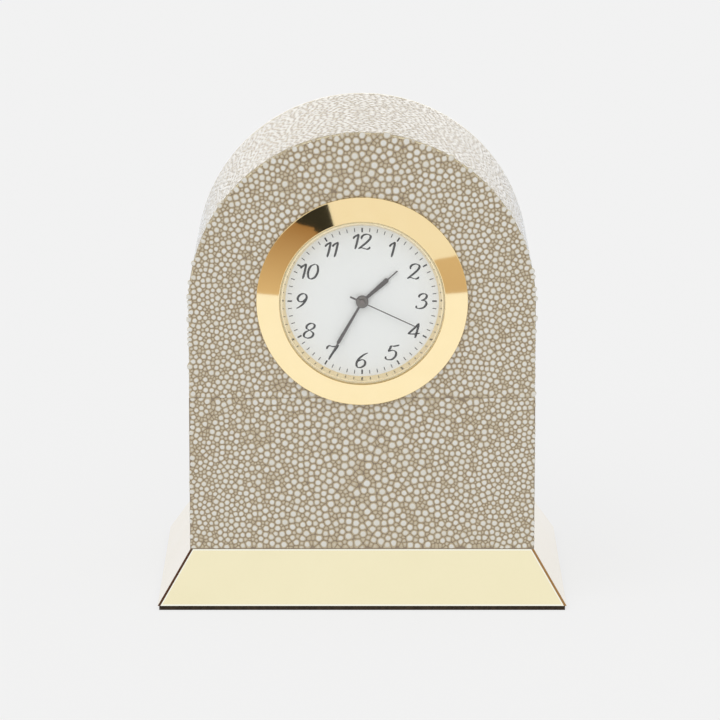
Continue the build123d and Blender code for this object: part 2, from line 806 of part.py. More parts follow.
# Rotor: ring magnet on a moulded pinion with its own pivots
magnet_near = coil_depth - magnet_length / 2
magnet_far = coil_depth + magnet_length / 2
with BuildPart() as rotor_pinion:
    rotor_phase = meshed(0, intermediate_teeth, rotor_teeth, rotor_mesh_direction)
    rotor_near = intermediate_near - pinion_overlap
    rotor_far = intermediate_far + pinion_overlap
    add_wheel(rotor_spot, rotor_teeth, intermediate_module, rotor_phase, rotor_near, rotor_far)
    add_arbor(rotor_spot)
save(rotor_pinion, "rotor_pinion")

with BuildPart() as rotor_magnet:
    add_disc(rotor_spot, magnet_radius, magnet_near, magnet_far)
    add_disc(rotor_spot, arbor_radius + press_gap, magnet_near, magnet_far, mode=Mode.SUBTRACT)
save(rotor_magnet, "rotor_magnet")

# Stator and coil, in a frame whose X runs outwards through the rotor
stator_hole = magnet_radius + stator_gap
stator_radius = stator_hole + stator_ring
coil_reach = rotor_reach + stator_radius + coil_clearance + coil_flange_radius
leg_middle = (coil_length + leg_width) / 2
motor_turn = Location((0, 0, 0), (0, 0, rotor_direction))
motor_side = Vector(*polar(1, rotor_direction + 90))
motor_plane = Plane(
    origin=at_depth(coil_depth).from_local_coords(Vector(*polar(coil_reach, rotor_direction), 0)),
    x_dir=(0, 1, 0),
    z_dir=(motor_side.X, 0, motor_side.Y),
)

with BuildPart() as stator:
    with BuildSketch(at_depth(coil_depth + stator_thickness / 2)):
        with Locations(motor_turn):
            with Locations((rotor_reach, 0)):
                Rectangle(stator_bar_width, coil_length + 2 * leg_width)
                Circle(stator_radius)
            leg_end = coil_reach + core_width / 2
            for side in (-1, 1):
                with Locations(((rotor_reach + leg_end) / 2, side * leg_middle)):
                    Rectangle(leg_end - rotor_reach, leg_width)
            with Locations((rotor_reach, 0)):
                Circle(stator_hole, mode=Mode.SUBTRACT)
    extrude(amount=stator_thickness)
save(stator, "stator")

with BuildPart() as coil_core:
    with BuildSketch(motor_plane):
        Rectangle(stator_thickness, core_width)
    extrude(amount=coil_length / 2, both=True)
save(coil_core, "coil_core")

tube_height = stator_thickness + 2 * bobbin_wall
tube_width = core_width + 2 * bobbin_wall
with BuildPart() as coil_bobbin:
    with BuildSketch(motor_plane):
        Rectangle(tube_height, tube_width)
    extrude(amount=coil_length / 2, both=True)
    for side in (-1, 1):
        with BuildSketch(motor_plane.offset(side * coil_length / 2)):
            Circle(coil_flange_radius)
        extrude(amount=-side * coil_flange_thickness)
    with BuildSketch(motor_plane):
        Rectangle(stator_thickness, core_width)
    extrude(amount=coil_length / 2, both=True, mode=Mode.SUBTRACT)
save(coil_bobbin, "coil_bobbin")

with BuildPart() as coil_winding:
    with BuildSketch(motor_plane):
        Circle(coil_radius)
        Rectangle(tube_height, tube_width, mode=Mode.SUBTRACT)
    extrude(amount=coil_length / 2 - coil_flange_thickness, both=True)
save(coil_winding, "coil_winding")

# Circuit board on the back of the bridge, with its chip and quartz can
board_back = bridge_back + board_thickness
with BuildPart() as circuit_board:
    with BuildSketch(at_depth(board_back)):
        with Locations((board_x, board_y)):
            Rectangle(board_width, board_height)
    extrude(amount=board_thickness)
save(circuit_board, "circuit_board")

with BuildPart() as timing_chip:
    with BuildSketch(at_depth(board_back + chip_height)):
        with Locations((board_x + chip_offset, board_y)):
            RectangleRounded(chip_side, chip_side, chip_corner)
    extrude(amount=chip_height)
save(timing_chip, "timing_chip")

with BuildPart() as quartz_can:
    can_plane = Plane(
        origin=at_depth(board_back + can_radius).from_local_coords(Vector(board_x - chip_offset, board_y, 0)),
        z_dir=(0, 0, 1),
    )
    with BuildSketch(can_plane):
        Circle(can_radius)
    extrude(amount=can_length / 2, both=True)
save(quartz_can, "quartz_can")

# Button battery in its well, with a leaf under it and a tab at its side that both run to the board
with BuildPart() as battery:
    add_disc(battery_spot, battery_radius - battery_step, battery_near, battery_near + battery_step)
    add_disc(battery_spot, battery_radius, battery_near + battery_step, battery_far)
save(battery, "battery")

board_edge = board_x + board_width / 2
battery_side = battery_radius + contact_gap
tail_back = bridge_back + contact_thickness
riser_x = battery_spot[0] - battery_side - contact_thickness / 2
with BuildPart() as negative_contact:
    with BuildSketch(at_depth(battery_near)):
        with Locations(((riser_x + battery_spot[0]) / 2, battery_spot[1])):
            Rectangle(battery_spot[0] - riser_x + contact_thickness, contact_width)
    extrude(amount=contact_thickness)
    with BuildSketch(at_depth(tail_back)):
        with Locations((riser_x, battery_spot[1])):
            Rectangle(contact_thickness, contact_width)
    extrude(amount=tail_back - battery_near + contact_thickness)
    with BuildSketch(at_depth(tail_back)):
        with Locations(((riser_x + board_edge) / 2, battery_spot[1])):
            Rectangle(riser_x - board_edge, contact_width)
    extrude(amount=contact_thickness)
save(negative_contact, "negative_contact")

with BuildPart() as positive_contact:
    tab_reach = battery_side + contact_thickness / 2
    tab_x = battery_spot[0] - tab_reach * cos(radians(positive_turn))
    tab_y = battery_spot[1] - tab_reach * sin(radians(positive_turn))
    tab_height = (battery_far - bridge_back) / 2
    with BuildSketch(at_depth(tail_back)):
        with Locations(((tab_x + board_edge) / 2, tab_y)):
            Rectangle(tab_x - board_edge, tab_width)
        with Locations(Location((*battery_spot, 0), (0, 0, positive_turn))):
            with Locations((-tab_reach, 0)):
                Rectangle(contact_thickness, contact_width)
        with Locations(battery_spot):
            Circle(battery_side, mode=Mode.SUBTRACT)
    extrude(amount=contact_thickness)
    with BuildSketch(at_depth(tail_back + tab_height)):
        with Locations(Location((*battery_spot, 0), (0, 0, positive_turn))):
            with Locations((-tab_reach, 0)):
                Rectangle(contact_thickness, contact_width)
        with Locations(battery_spot):
            Circle(battery_side, mode=Mode.SUBTRACT)
    extrude(amount=tab_height)
save(positive_contact, "positive_contact")

# Battery cap: twist cap with two lugs inside the cup's back wall and a coin slot outside
with BuildPart() as battery_cap:
    add_disc(battery_spot, cap_radius, cap_front, cup_back)
    with BuildSketch(at_depth(cup_floor - running_gap)):
        with Locations(Location((*battery_spot, 0), (0, 0, battery_direction + 90))):
            Rectangle(2 * lug_radius, cap_lug_width)
        with Locations(battery_spot):
            Circle(lug_radius, mode=Mode.INTERSECT)
    extrude(amount=cap_lug_height)
    with BuildSketch(at_depth(cup_back)):
        with Locations(Location((*battery_spot, 0), (0, 0, battery_direction))):
            SlotOverall(coin_slot_length, coin_slot_width)
    extrude(amount=coin_slot_depth, mode=Mode.SUBTRACT)
save(battery_cap, "battery_cap")
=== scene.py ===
import bpy
import numpy as np
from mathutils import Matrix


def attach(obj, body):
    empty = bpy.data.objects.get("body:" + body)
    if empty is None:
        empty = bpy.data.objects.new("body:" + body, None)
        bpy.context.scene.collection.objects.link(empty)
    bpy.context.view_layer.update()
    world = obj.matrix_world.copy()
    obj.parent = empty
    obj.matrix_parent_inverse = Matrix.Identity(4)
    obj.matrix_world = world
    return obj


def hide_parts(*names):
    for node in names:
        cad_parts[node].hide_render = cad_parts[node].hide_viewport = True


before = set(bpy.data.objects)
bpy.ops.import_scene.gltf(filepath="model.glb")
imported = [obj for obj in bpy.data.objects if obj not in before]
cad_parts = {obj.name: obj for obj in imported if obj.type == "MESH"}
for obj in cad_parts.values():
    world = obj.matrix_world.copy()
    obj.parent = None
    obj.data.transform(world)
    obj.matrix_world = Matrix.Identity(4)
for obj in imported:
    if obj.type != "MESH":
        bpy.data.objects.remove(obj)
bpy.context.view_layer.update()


# Case core: three layers of fibreboard and a flared fibreboard plinth, glued face to face. The front
# layer is bored through, so its raw brown wall shows when the insert is out.
class Signal:
    """A socket of a node tree. Arithmetic on it, with numbers or other sockets, adds Math nodes."""

    def __init__(self, nodes, socket):
        self.nodes = nodes
        self.socket = socket

    def combine(self, operation, first, second):
        return self.nodes.node("ShaderNodeMath", {"operation": operation}, {0: first, 1: second})

    def __add__(self, other):
        return self.combine("ADD", self, other)

    def __radd__(self, other):
        return self.combine("ADD", other, self)

    def __sub__(self, other):
        return self.combine("SUBTRACT", self, other)

    def __rsub__(self, other):
        return self.combine("SUBTRACT", other, self)

    def __mul__(self, other):
        return self.combine("MULTIPLY", self, other)

    def __rmul__(self, other):
        return self.combine("MULTIPLY", other, self)

    def __gt__(self, other):
        return self.combine("GREATER_THAN", self, other)

    def __lt__(self, other):
        return self.combine("LESS_THAN", self, other)


class Nodes:
    """A node tree that signals are made in."""

    def __init__(self, tree):
        self.tree = tree

    def node(self, kind, settings=None, sockets=None, output=0):
        """Add a node: its settings (stops are a ramp's), then the values or links of its sockets."""
        made = self.tree.nodes.new(kind)
        for key, value in (settings or {}).items():
            if key == "stops":
                ramp = made.color_ramp
                while len(ramp.elements) < len(value):
                    ramp.elements.new(1.0)
                for element, (position, color) in zip(ramp.elements, value):
                    element.position = position
                    element.color = color
            else:
                setattr(made, key, value)
        for key, value in (sockets or {}).items():
            if isinstance(value, Signal):
                self.tree.links.new(value.socket, made.inputs[key])
            else:
                made.inputs[key].default_value = value
        return Signal(self, made.outputs[output])


class Finish(Nodes):
    """A material with one Principled shader. What is the same all over is set on that shader itself."""

    def __init__(self, name, **constants):
        self.material = bpy.data.materials.new(name)
        self.material.use_nodes = True
        super().__init__(self.material.node_tree)
        self.shader = self.tree.nodes["Principled BSDF"]
        for socket, value in constants.items():
            self.shader.inputs[socket.replace("_", " ")].default_value = value

    def feed(self, **signals):
        """Link signals to the shader's sockets."""
        for socket, signal in signals.items():
            self.tree.links.new(signal.socket, self.shader.inputs[socket.replace("_", " ")])

    def place(self, scale=(1, 1, 1), turn=(0, 0, 0)):
        """Object coordinates, stretched and turned for a grain."""
        spot = self.node("ShaderNodeTexCoord", output="Object")
        return self.node("ShaderNodeMapping", {}, {"Vector": spot, "Scale": scale, "Rotation": turn})

    def noise(self, scale, detail=3.0, stretch=(1, 1, 1), turn=(0, 0, 0)):
        """Soft noise from 0 to 1, this many waves to the metre."""
        spot = self.place(stretch, turn)
        return self.node("ShaderNodeTexNoise", {}, {"Vector": spot, "Scale": scale, "Detail": detail})

    def blend(self, share, first, second):
        """Colour that goes from first to second with share."""
        sockets = {0: share, 6: first, 7: second}
        return self.node("ShaderNodeMix", {"data_type": "RGBA"}, sockets, output=2)

    def relief(self, height, depth, strength=1.0):
        """Surface direction over a relief of this depth in metres."""
        sockets = {"Height": height, "Distance": depth, "Strength": strength}
        return self.node("ShaderNodeBump", {}, sockets)

    def dress(self, *names):
        """Give CAD nodes this finish."""
        for name in names:
            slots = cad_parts[name].data.materials
            slots.clear()
            slots.append(self.material)


def shade(red, green, blue):
    """Linear colour from the 0 to 255 values that a surface shows under plain white light."""
    share = np.array([red, green, blue]) / 255
    linear = np.where(share <= 0.04045, share / 12.92, ((share + 0.055) / 1.055) ** 2.4)
    return (*linear.tolist(), 1.0)


board = Finish("fibreboard", Roughness=0.85)
fibres = board.noise(2200, 6.0)
board.feed(
    Base_Color=board.blend(fibres, shade(128, 98, 66), shade(176, 143, 104)),
    Normal=board.relief(fibres, 0.0002, 0.6),
)
board.dress("front_block", "middle_block", "back_block", "plinth_core")


# Dowels: short beech pegs, cut from rod with the grain along them. Each is glued half into one layer of
# the case and half into the next.
peg = Finish("beech_peg", Roughness=0.6)
grain = peg.noise(900, 4.0, stretch=(1, 0.06, 1))
peg.feed(
    Base_Color=peg.blend(grain, shade(196, 160, 112), shade(226, 196, 150)),
    Normal=peg.relief(grain, 0.0001, 0.5),
)
peg.dress("dowels")


# Skins: panels of ray skin, ground until the pearls are flat on top, dyed in the grooves and lacquered.
# They are glued on in two heights that meet in a level seam. Pearls are largest along the spine.
case_half, case_back, case_front = 44.45, 32.2, -32.2
plinth_top, seam, spring, dial_height = 14.1, 54.2, 78.7, 79.6
skin = 1.2
groove, rim_depth = 0.09, 0.5
hide_face = groove + 0.02
insert_hole = 23.9

shagreen = Finish("shagreen", Coat_Weight=1.0, Coat_Roughness=0.2)
pearl = shagreen.node("ShaderNodeAttribute", {"attribute_name": "pearl"}, output="Fac")
tone = shagreen.node("ShaderNodeAttribute", {"attribute_name": "tone"}, output="Fac")
mottle = shagreen.noise(1500, 4.0)
dyed = shagreen.node(
    "ShaderNodeValToRGB",
    {
        "stops": [
            (0.0, shade(236, 228, 204)),
            (0.46, shade(232, 222, 194)),
            (0.5, shade(106, 81, 48)),
            (0.535, shade(132, 109, 74)),
            (0.58, shade(164, 145, 111)),
            (0.82, shade(180, 164, 134)),
            (0.94, shade(212, 209, 201)),
            (1.0, shade(220, 219, 213)),
        ]
    },
    {"Fac": pearl * 0.5 + 0.5},
)
cloudy = shagreen.blend(tone * 0.22 + mottle * 0.2, dyed, shade(194, 183, 156))
shagreen.feed(
    Base_Color=cloudy,
    Roughness=0.55 - pearl * 0.15,
    Normal=shagreen.relief(mottle, 0.00006, 0.5),
)


class Edge:
    """A panel's edge: straight at plus and minus half and at low and high, or over them a half circle on
    the height arch, with a round hole on the dial's axis. Pearls may hang over its sides and its arch."""

    def __init__(self, half, low, high, arch=None, hole=0.0, overhang=0.0):
        self.half, self.low, self.high = half, low, high
        self.arch, self.hole, self.overhang = arch, hole, overhang

    def room(self, spot, heading, beyond=0.0):
        """Distance from points to the edge along headings, with its sides and arch moved out by beyond.

        A straight edge is met after (limit - p) / h, the arch after -b + sqrt(b^2 - c) and the hole after
        -b - sqrt(b^2 - c), where b is the heading times the way from the circle's middle, and c is that
        way squared less the radius squared."""
        half = self.half + beyond
        high = self.high if self.arch is None else self.high + beyond
        side = np.where(heading[..., 0] > 0, half - spot[..., 0], half + spot[..., 0])
        level = np.where(heading[..., 1] > 0, high - spot[..., 1], spot[..., 1] - self.low)
        with np.errstate(divide="ignore", invalid="ignore"):
            free = np.minimum(side / abs(heading[..., 0]), level / abs(heading[..., 1]))
        if self.arch is not None:
            from_middle = spot - np.array([0, self.arch])
            along = (heading * from_middle).sum(-1)
            crossing = -along + np.sqrt(np.maximum(along**2 - (from_middle**2).sum(-1) + half**2, 0))
            over_arch = spot[..., 1] + crossing * heading[..., 1] > self.arch
            free = np.where(over_arch, np.minimum(free, crossing), free)
        if self.hole:
            from_middle = spot - np.array([0, dial_height])
            along = (heading * from_middle).sum(-1)
            root = along**2 - (from_middle**2).sum(-1) + self.hole**2
            crossing = -along - np.sqrt(np.maximum(root, 0))
            free = np.where((root > 0) & (along < 0), np.minimum(free, crossing), free)
        return free

    def covers(self, spot):
        """Which points lie on the panel."""
        across, along = spot[:, 0], spot[:, 1]
        rise = np.maximum(along - (self.high if self.arch is None else self.arch), 0)
        covered = (across**2 + rise**2 < self.half**2) & (along > self.low) & (along < self.high)
        return covered & (np.hypot(across, along - dial_height) > self.hole)


def pearl_cells(edge, pitches, corners, seed):
    """Pearls of a panel as centres, outline directions and reaches, rims and sizes. A rim is 1 where the
    panel's edge cuts the pearl, 2 where the pearl hangs over it, and else 0.

    Columns of pearls stand k = 0.87 pitch apart, and the pitch falls off evenly from the spine, so column
    n is at c/g * (1 - exp(-k g n)). Neighbours push apart until their radii fit. Each outline is then the
    nearest of the lines that divide the pearl from its neighbours: (d^2 + r^2 - s^2) / 2d out from it."""
    stagger, scatter, rounds, push_share = 0.87, 0.45, 40, 0.25
    large_share, large_sizes, small_sizes = 0.52, (0.54, 0.7), (0.25, 0.44)
    cleft, least_reach, most_reach = 0.03, 0.06, 1.5
    draw = np.random.default_rng(seed)
    spine_pitch, flank_pitch = pitches
    fall = (spine_pitch - flank_pitch) / edge.half
    last = int(np.ceil(-np.log(1 - fall * edge.half / spine_pitch) / (stagger * fall))) + 1
    column = np.arange(-last, last + 1)
    across = np.sign(column) * spine_pitch / fall * (1 - np.exp(-stagger * fall * abs(column)))
    pitch = spine_pitch - fall * abs(across)
    rows = int((edge.high - edge.low) / pitch.min()) + 6
    start = edge.low - pitch * draw.uniform(2, 3, len(pitch))
    along = start[:, None] + pitch[:, None] * np.arange(rows)
    step = np.broadcast_to(pitch[:, None], along.shape)
    spot = np.stack([np.broadcast_to(across[:, None], along.shape), along], -1)
    spot = (spot + step[..., None] * draw.uniform(-scatter, scatter, spot.shape)).reshape(-1, 2)
    large = draw.random(len(spot)) < large_share
    large_size, small_size = draw.uniform(*large_sizes, len(spot)), draw.uniform(*small_sizes, len(spot))
    size = np.where(large, large_size, small_size) * step.ravel()

    shift, hop = (grid.ravel() for grid in np.meshgrid(np.arange(-3, 4), np.arange(-4, 5)))
    beside = np.repeat(np.arange(len(pitch)), rows)[:, None] + shift
    inside = (beside >= 0) & (beside < len(pitch))
    beside = np.clip(beside, 0, len(pitch) - 1)
    row = np.rint((along.ravel()[:, None] - start[beside]) / pitch[beside]).astype(int) + hop
    inside &= (row >= 0) & (row < rows)
    near = beside * rows + np.clip(row, 0, rows - 1)
    inside &= near != np.arange(len(spot))[:, None]
    for _ in range(rounds):
        apart = spot[near] - spot[:, None]
        distance = np.linalg.norm(apart, axis=-1) + 1e-6
        push = np.where(inside, np.maximum(size[near] + size[:, None] - distance, 0), 0) / distance
        spot = spot - push_share * (apart * push[..., None]).sum(1)

    turn = draw.uniform(0, 2 * np.pi, (len(spot), 1)) + np.arange(corners) * 2 * np.pi / corners
    heading = np.stack([np.cos(turn), np.sin(turn)], -1)
    brink = edge.room(spot[:, None], heading)
    within = edge.covers(spot) & (brink.min(1) > 0.1 * size)
    apart = spot[near] - spot[:, None]
    lean = np.einsum("nkc,nmc->nkm", heading, apart)
    divide = (apart**2).sum(-1) + size[:, None] ** 2 - size[near] ** 2
    valid = (inside & within[near])[:, None] & (lean > 1e-6)
    reach = np.where(valid, divide[:, None] / np.where(valid, 2 * lean, 1), np.inf).min(-1)
    overhung = edge.room(spot[:, None], heading, edge.overhang)
    proud = np.minimum(overhung, size[:, None])
    whole = (overhung > brink) & (brink < most_reach * size[:, None]) & (proud < reach)
    rim = np.where(whole, 2, np.where(brink < reach, 1, 0))
    reach = np.where(whole, proud, np.minimum(reach, brink))
    reach = np.minimum(reach, most_reach * np.median(reach, 1, keepdims=True)) - cleft * (rim == 0)
    within &= reach.min(1) > least_reach
    return spot[within], heading[within], reach[within], rim[within], (size / step.ravel())[within]


def shell(name, points, *groups):
    """Mesh of points in millimetres and groups of faces, each group an array with one face to a row."""
    mesh = bpy.data.meshes.new(name)
    loops = np.concatenate([group.ravel() for group in groups])
    sides = np.concatenate([np.full(len(group), group.shape[1]) for group in groups])
    mesh.vertices.add(len(points))
    mesh.vertices.foreach_set("co", (points / 1000).ravel())
    mesh.loops.add(len(loops))
    mesh.loops.foreach_set("vertex_index", loops)
    mesh.polygons.add(len(sides))
    mesh.polygons.foreach_set("loop_start", np.cumsum(sides) - sides)
    mesh.update(calc_edges=True)
    mesh.shade_smooth()
    return mesh


def lofted(rings, closed):
    """Faces between closed rings of points, and over the two end rings when the loft isn't closed."""
    count, around = rings
    index = np.arange(count * around).reshape(count, around)
    ahead = np.roll(index, -1, 0) if closed else index[1:]
    behind = index if closed else index[:-1]
    walls = np.stack([behind, np.roll(behind, -1, 1), np.roll(ahead, -1, 1), ahead], -1).reshape(-1, 4)
    return (walls,) if closed else (walls, index[:1, ::-1], index[-1:])


def outward(points, groups):
    """The same faces, turned round where the volume that they close comes out negative."""
    volume = 0.0
    for faces in groups:
        corner = points[faces]
        fan = np.cross(corner[:, 1:-1] - corner[:, :1], corner[:, 2:] - corner[:, :1])
        volume += (fan * corner[:, :1]).sum()
    return groups if volume > 0 else tuple(faces[:, ::-1] for faces in groups)


def show(mesh, finish, body, *nodes):
    """Put a finished mesh in the scene, riding on a body, in place of these CAD nodes."""
    mesh.materials.append(finish.material)
    piece = bpy.data.objects.new(mesh.name, mesh)
    bpy.context.collection.objects.link(piece)
    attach(piece, body)
    if nodes:
        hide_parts(*nodes)
    return piece


def skin_panel(name, cells, hide, place, node):
    """A panel: its hide, a slab that ends at the foot of the grooves, and on it one dome for each pearl.

    A dome's top ring is a rounder and smaller copy of its outline, flush with the panel's face, and its
    foot ring is the outline at the foot of the groove. The attribute pearl is 1 on the tops, 0 in the
    grooves and -1 at the back of the hide, and tone is a random shade for each pearl."""
    spot, heading, reach, rim, size = cells
    count, corners = reach.shape
    usual = np.median(reach, 1, keepdims=True)
    growth = np.clip((size - 0.3) / 0.3, 0, 1)[:, None]
    crown = (0.36 + 0.22 * growth) * (0.65 * usual + 0.35 * reach)
    crown = np.where(rim == 2, 0.8 * reach, np.minimum(crown, 0.9 * reach))
    top = place(spot[:, None] + heading * crown[..., None], 0.0)
    foot = place(spot[:, None] + heading * reach[..., None], np.where(rim == 2, rim_depth, groove))
    pearls = np.stack([top, foot], 1).reshape(-1, 3)
    index = np.arange(count * 2 * corners).reshape(count, 2, corners)
    upper, lower = index[:, 0], index[:, 1]
    slopes = np.stack([upper, np.roll(upper, -1, 1), np.roll(lower, -1, 1), lower], -1).reshape(-1, 4)
    domes = (slopes, upper[:, ::-1], lower)
    domes = outward(pearls, domes)
    hide_points, hide_faces = hide
    hide_points = place(hide_points[:, :2], hide_points[:, 2])
    hide_faces = outward(hide_points, hide_faces)
    hide_faces = tuple(faces + len(pearls) for faces in hide_faces)
    mesh = shell(name, np.concatenate([pearls, hide_points]), *domes, *hide_faces)
    level = np.zeros((count, 2, corners))
    level[:, 0] = 0.68 + 0.32 * growth
    level[:, 1] = np.choose(rim, (0.0, 0.2, -0.6))
    depth = np.where(hide[0][:, 2] > skin / 2, -1.0, 0.0)
    shades = np.random.default_rng(len(name)).random(count)
    values = {
        "pearl": np.concatenate([level.ravel(), depth]),
        "tone": np.concatenate([np.repeat(shades, 2 * corners), np.full(len(depth), 0.5)]),
    }
    for key, value in values.items():
        mesh.attributes.new(key, "FLOAT", "POINT").data.foreach_set("value", value.astype(np.float32))
    mesh.set_sharp_from_angle(angle=np.radians(50))
    return show(mesh, shagreen, "case", node)


def hide_slab(outline):
    """Slab under an outline of panel points: one ring at the foot of the grooves and one at the back."""
    rings = [np.column_stack([outline, np.full(len(outline), depth)]) for depth in (hide_face, skin)]
    return np.concatenate(rings), lofted((2, len(outline)), False)


def hide_strip(inner, outer):
    """Slab between two closed outlines with the same number of points."""
    corners = [(outer, hide_face), (outer, skin), (inner, skin), (inner, hide_face)]
    ring = np.stack([np.column_stack([line, np.full(len(line), depth)]) for line, depth in corners], 1)
    return ring.reshape(-1, 3), lofted((len(inner), 4), True)


def front_place(spot, depth):
    """Panel point on the front of the case: across is x and along is z."""
    return np.stack([spot[..., 0], np.full(spot.shape[:-1], case_front) + depth, spot[..., 1]], -1)


def back_place(spot, depth):
    """Panel point on the back of the case, as someone behind it sees it."""
    return np.stack([-spot[..., 0], np.full(spot.shape[:-1], case_back) - depth, spot[..., 1]], -1)


def left_place(spot, depth):
    """Panel point on the left side: across is y and along is z."""
    return np.stack([np.full(spot.shape[:-1], -case_half) + depth, spot[..., 0], spot[..., 1]], -1)


def right_place(spot, depth):
    """Panel point on the right side."""
    return np.stack([np.full(spot.shape[:-1], case_half) - depth, -spot[..., 0], spot[..., 1]], -1)


def arch_place(spot, depth):
    """Panel point round the arch: across runs from the top down both sides, round and then straight."""
    turn = np.clip(spot[..., 0] / case_half, -np.pi / 2, np.pi / 2)
    straight = np.maximum(abs(spot[..., 0]) - case_half * np.pi / 2, 0)
    radius = case_half - depth
    return np.stack([radius * np.sin(turn), spot[..., 1], spring + radius * np.cos(turn) - straight], -1)


def oblong(half, low, high):
    """Corners of an upright rectangle."""
    return np.array([[-half, low], [half, low], [half, high], [-half, high]])


seam_gap, notch, foot_gap = 0.02, 0.5, 0.2
upper_overhang, lower_overhang = 0.5, 0.15
upper_foot, lower_head = seam + seam_gap, seam - seam_gap
pearl_foot = plinth_top + foot_gap
case_top = spring + case_half
side_half = case_back - skin
arch_half = case_half * np.pi / 2 + spring - upper_foot
front_grain = {"pitches": (1.7, 1.19), "corners": 12}
other_grain = {"pitches": (1.6, 1.25), "corners": 8}

arch_line = np.linspace(0, np.pi, 97)
upper_outline = np.concatenate(
    [
        np.column_stack([case_half * np.cos(arch_line), spring + case_half * np.sin(arch_line)]),
        [[-case_half, upper_foot], [case_half, upper_foot]],
    ]
)
upper_hide = hide_slab(upper_outline)
lower_hide = hide_slab(oblong(case_half, plinth_top, lower_head))
side_hide = hide_slab(oblong(side_half, plinth_top, lower_head))

notched = Edge(case_half - notch, upper_foot, 2 * case_top, spring)
corner_bearing = np.arctan2(upper_foot - dial_height, [-notched.half, notched.half])
bearing = np.sort(np.append(np.linspace(-np.pi, np.pi, 240, endpoint=False), corner_bearing))
ray = np.column_stack([np.cos(bearing), np.sin(bearing)])
middle = np.array([0, dial_height])
upper_rim = middle + ray * notched.room(np.broadcast_to(middle, ray.shape), ray)[:, None]
bored_hide = hide_strip(middle + ray * insert_hole, upper_rim)

arch_steps = np.linspace(-arch_half, arch_half, 129)
arch_corners = [(-side_half, hide_face), (side_half, hide_face), (side_half, skin), (-side_half, skin)]
arch_rings = [np.column_stack(np.broadcast_arrays(arch_steps, y, depth)) for y, depth in arch_corners]
arch_hide = (np.stack(arch_rings, 1).reshape(-1, 3), lofted((len(arch_steps), 4), False))

front_upper_edge = Edge(case_half, upper_foot, case_top, spring, insert_hole, upper_overhang)
front_lower_edge = Edge(case_half, pearl_foot, lower_head, overhang=lower_overhang)
panels = [
    ("front_upper_skin", front_upper_edge, bored_hide, front_place),
    ("front_lower_skin", front_lower_edge, lower_hide, front_place),
    ("back_upper_skin", Edge(case_half, upper_foot, case_top, spring), upper_hide, back_place),
    ("back_lower_skin", Edge(case_half, pearl_foot, lower_head), lower_hide, back_place),
    ("left_skin", Edge(side_half, pearl_foot, lower_head), side_hide, left_place),
    ("right_skin", Edge(side_half, pearl_foot, lower_head), side_hide, right_place),
    ("arch_skin", Edge(arch_half, -side_half, side_half), arch_hide, arch_place),
]
for seed, (node, edge, hide, place) in enumerate(panels):
    grain = front_grain if place is front_place else other_grain
    cells = pearl_cells(edge, **grain, seed=seed)
    panel = skin_panel(node.replace("skin", "shagreen"), cells, hide, place, node)


# Plinth: four flared plates of pale polished brass on the core. The side plates lap over the ends of the
# front and back ones, so their cut edges show as a line along each corner, dark brown on the left and
# lighter brown on the right. A near-white band is painted along the edges of the front and back plates:
# a painted highlight that stands for a fine bevel.
plate_foot, plate_head = 0.00152, 0.01382
plate_half, plate_lean = 0.0524, 8.2 / 12.9
# The side plates' cut edges are dark brown on the left and lighter brown on the right.
for plates, name, cut_edge in (
    (("front", "back"), "pale_brass", None),
    (("left",), "pale_brass_with_dark_edges", shade(74, 42, 12)),
    (("right",), "pale_brass_with_lighter_edges", shade(150, 112, 62)),
):
    brass = Finish(name, Metallic=1.0, Specular_Tint=(0.86, 0.82, 0.82, 1.0))
    haze = brass.noise(60, 4.0)
    rub = brass.noise(500, 2.0, stretch=(1, 1, 14))
    polish = brass.blend(haze, shade(250, 241, 205), shade(245, 236, 198))
    gloss = 0.1 + haze * 0.06 + rub * 0.04
    if cut_edge:
        facing = brass.node("ShaderNodeTexCoord", output="Normal")
        facing = brass.node("ShaderNodeSeparateXYZ", {}, {0: facing}, output="Y")
        cut = facing * facing > 0.25
        brass.feed(
            Base_Color=brass.blend(cut, polish, cut_edge),
            Metallic=1 - cut * 0.7,
            Roughness=gloss + cut * 0.3,
        )
    else:
        spot = brass.node("ShaderNodeTexCoord", output="Object")
        across = brass.node("ShaderNodeSeparateXYZ", {}, {0: spot}, output="X")
        height = brass.node("ShaderNodeSeparateXYZ", {}, {0: spot}, output="Z")
        mitre = plate_half - height * plate_lean
        # Painted highlight: a near-white band along the top, the foot and the mitred ends of each plate.
        painted_edge_highlight = (height > plate_head) + (plate_foot > height) + (across * across > mitre * mitre)
        brass.feed(Base_Color=brass.blend(painted_edge_highlight, polish, shade(255, 254, 240)), Roughness=gloss)
    brass.dress(*(f"plinth_{side}_plate" for side in plates))


# Base pad: dark brown leather, cut a little smaller than the plinth and glued under it. It is all that
# touches the shelf.
pad = Finish("pad_leather", Roughness=0.75, Specular_IOR_Level=0.2)
crease = pad.node("ShaderNodeTexVoronoi", {}, {"Vector": pad.place(), "Scale": 900.0})
pad.feed(
    Base_Color=pad.blend(crease, shade(36, 27, 16), shade(62, 50, 36)),
    Normal=pad.relief(crease, 0.0002, 0.7),
)
pad.dress("base_pad")


# Screws and setting arbor: bright steel, turned. The wood screws hold the plinth to the case from below,
# the bridge screws hold the train bridge, and the arbor carries the setting knob.
steel = Finish("turned_steel", Metallic=1.0)
lathe = steel.noise(1800, 2.0, stretch=(1, 1, 6))
steel.feed(
    Base_Color=steel.blend(lathe, shade(168, 168, 170), shade(205, 205, 206)),
    Roughness=0.25 + lathe * 0.2,
)
steel.dress("plinth_screws", "bridge_screws", "setting_arbor")


